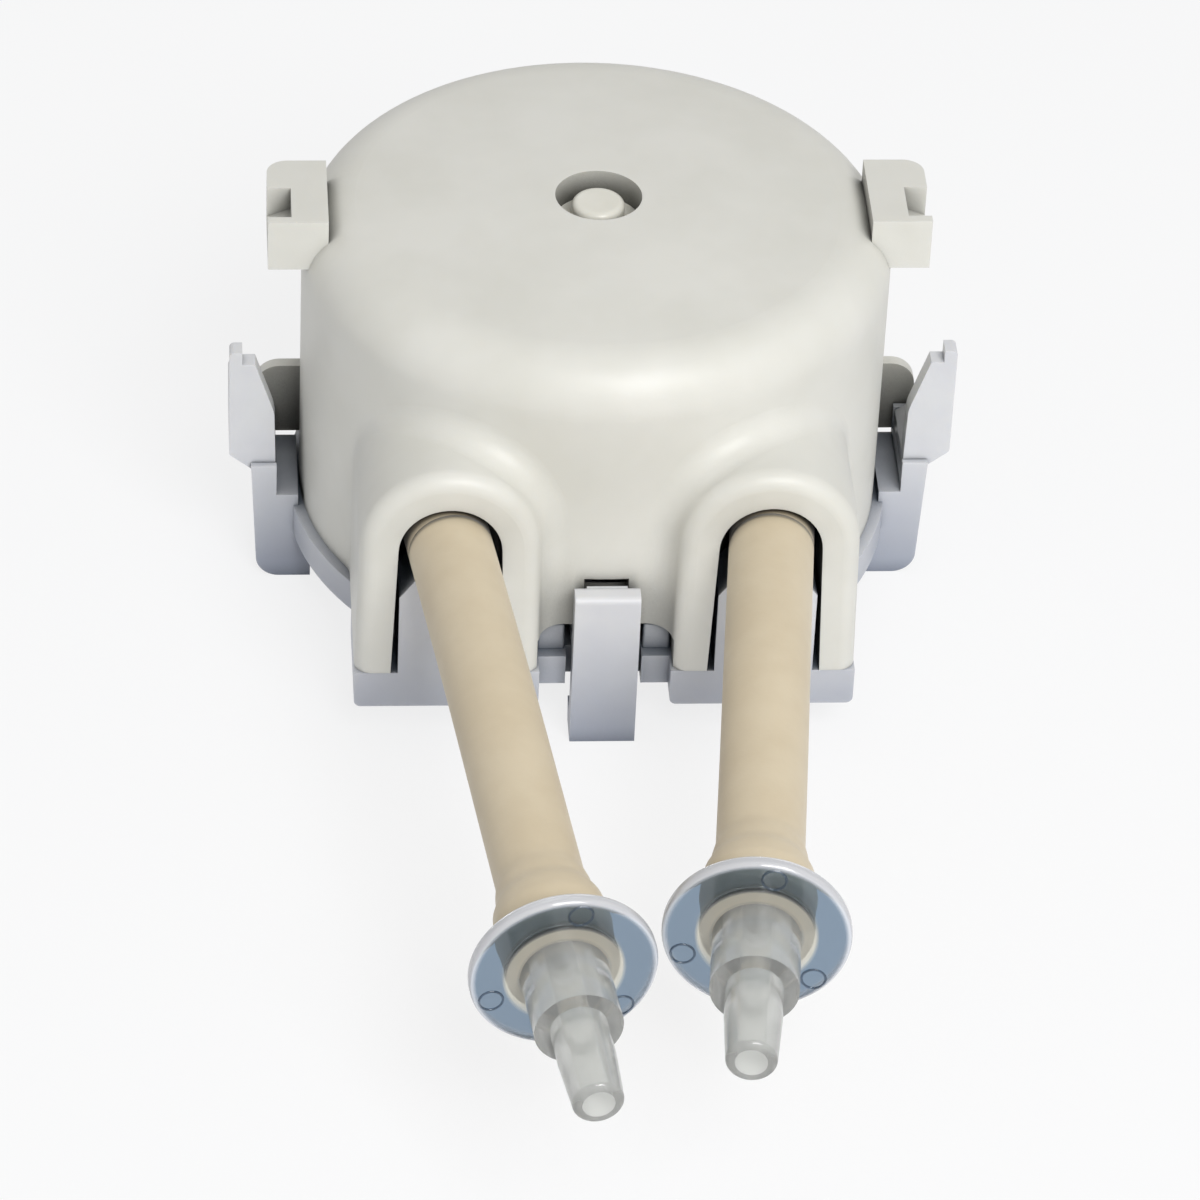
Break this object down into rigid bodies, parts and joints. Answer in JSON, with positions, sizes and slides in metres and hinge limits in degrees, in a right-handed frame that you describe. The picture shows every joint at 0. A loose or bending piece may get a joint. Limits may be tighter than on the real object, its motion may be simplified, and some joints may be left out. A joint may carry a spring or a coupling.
{
  "type": "peristaltic pump head",
  "caption": "Peristaltic pump head: round white housing over a three-roller rotor, two cream tube ends with clear stepped connectors.",
  "frame": {"origin": "on the rotor axis in the plane of the motor face, the raised ring under the base", "axes": "+Z along the rotor axis towards the cover, -Y the way both tube ends leave, +X to the right as seen from the ports"},
  "size_m": [0.0566, 0.1085, 0.0337],
  "materials": {
    "cover_plastic": "natural white acetal, slightly translucent, satin moulded surface",
    "base_plastic": "natural white polypropylene, translucent where thin, satin",
    "bush": "plain bearing plastic, satin",
    "rotor_plastic": "natural white acetal, satin",
    "roller": "turned acetal, smooth",
    "pin_steel": "ground stainless steel",
    "washer": "low friction plastic, smooth",
    "tube": "cream thermoplastic elastomer, dry matte",
    "clear_plastic": "clear moulded polycarbonate, glossy"
  },
  "bodies": {
    "base": {"base_plate": "base_plastic", "base_bush": "bush", "pump_tube": "tube", "inlet_lead": "tube", "outlet_lead": "tube", "inlet_connector": "clear_plastic", "outlet_connector": "clear_plastic", "lower_thrust_washer": "washer"},
    "cover": {"housing_cover": "cover_plastic", "cover_bush": "bush"},
    "rotor": {"rotor_carrier": "rotor_plastic", "rotor_cap": "rotor_plastic", "roller_pin_1": "pin_steel", "roller_pin_2": "pin_steel", "roller_pin_3": "pin_steel", "upper_thrust_washer": "washer"},
    "roller_1": {"roller_1": "roller"},
    "roller_2": {"roller_2": "roller"},
    "roller_3": {"roller_3": "roller"},
    "latch_arm_left": {"latch_arm_left": "base_plastic"},
    "latch_arm_right": {"latch_arm_right": "base_plastic"},
    "front_latch": {"front_latch": "base_plastic"}
  },
  "joints": [
    {"name": "rotor_spin", "type": "hinge", "parent": "base", "child": "rotor", "pos_m": [0, 0, 0.006], "axis": [0, 0, 1], "continuous": true, "deforming": ["pump_tube"]},
    {"name": "roller_1_spin", "type": "hinge", "parent": "rotor", "child": "roller_1", "pos_m": [0.01117, 0.00645, 0.0148], "axis": [0, 0, 1], "continuous": true},
    {"name": "roller_2_spin", "type": "hinge", "parent": "rotor", "child": "roller_2", "pos_m": [-0.01117, 0.00645, 0.0148], "axis": [0, 0, 1], "continuous": true},
    {"name": "roller_3_spin", "type": "hinge", "parent": "rotor", "child": "roller_3", "pos_m": [0, -0.0129, 0.0148], "axis": [0, 0, 1], "continuous": true},
    {"name": "latch_left_flex", "type": "hinge", "parent": "base", "child": "latch_arm_left", "pos_m": [-0.0255, 0, 0.005], "axis": [0, 1, 0], "range_deg": [0, 8], "stiffness_Nm_per_rad": 0.25},
    {"name": "latch_right_flex", "type": "hinge", "parent": "base", "child": "latch_arm_right", "pos_m": [0.0255, 0, 0.005], "axis": [0, 1, 0], "range_deg": [-8, 0], "stiffness_Nm_per_rad": 0.25},
    {"name": "front_latch_flex", "type": "hinge", "parent": "base", "child": "front_latch", "pos_m": [0, -0.0214, 0.00445], "axis": [1, 0, 0], "range_deg": [0, 10], "stiffness_Nm_per_rad": 0.12},
    {"name": "cover_lift", "type": "slide", "parent": "base", "child": "cover", "axis": [0, 0, 1], "range_m": [0, 0.03]}
  ],
  "couplings": [
    {"joint": "roller_1_spin", "follows": "rotor_spin", "ratio": -3.58},
    {"joint": "roller_2_spin", "follows": "rotor_spin", "ratio": -3.58},
    {"joint": "roller_3_spin", "follows": "rotor_spin", "ratio": -3.58}
  ]
}
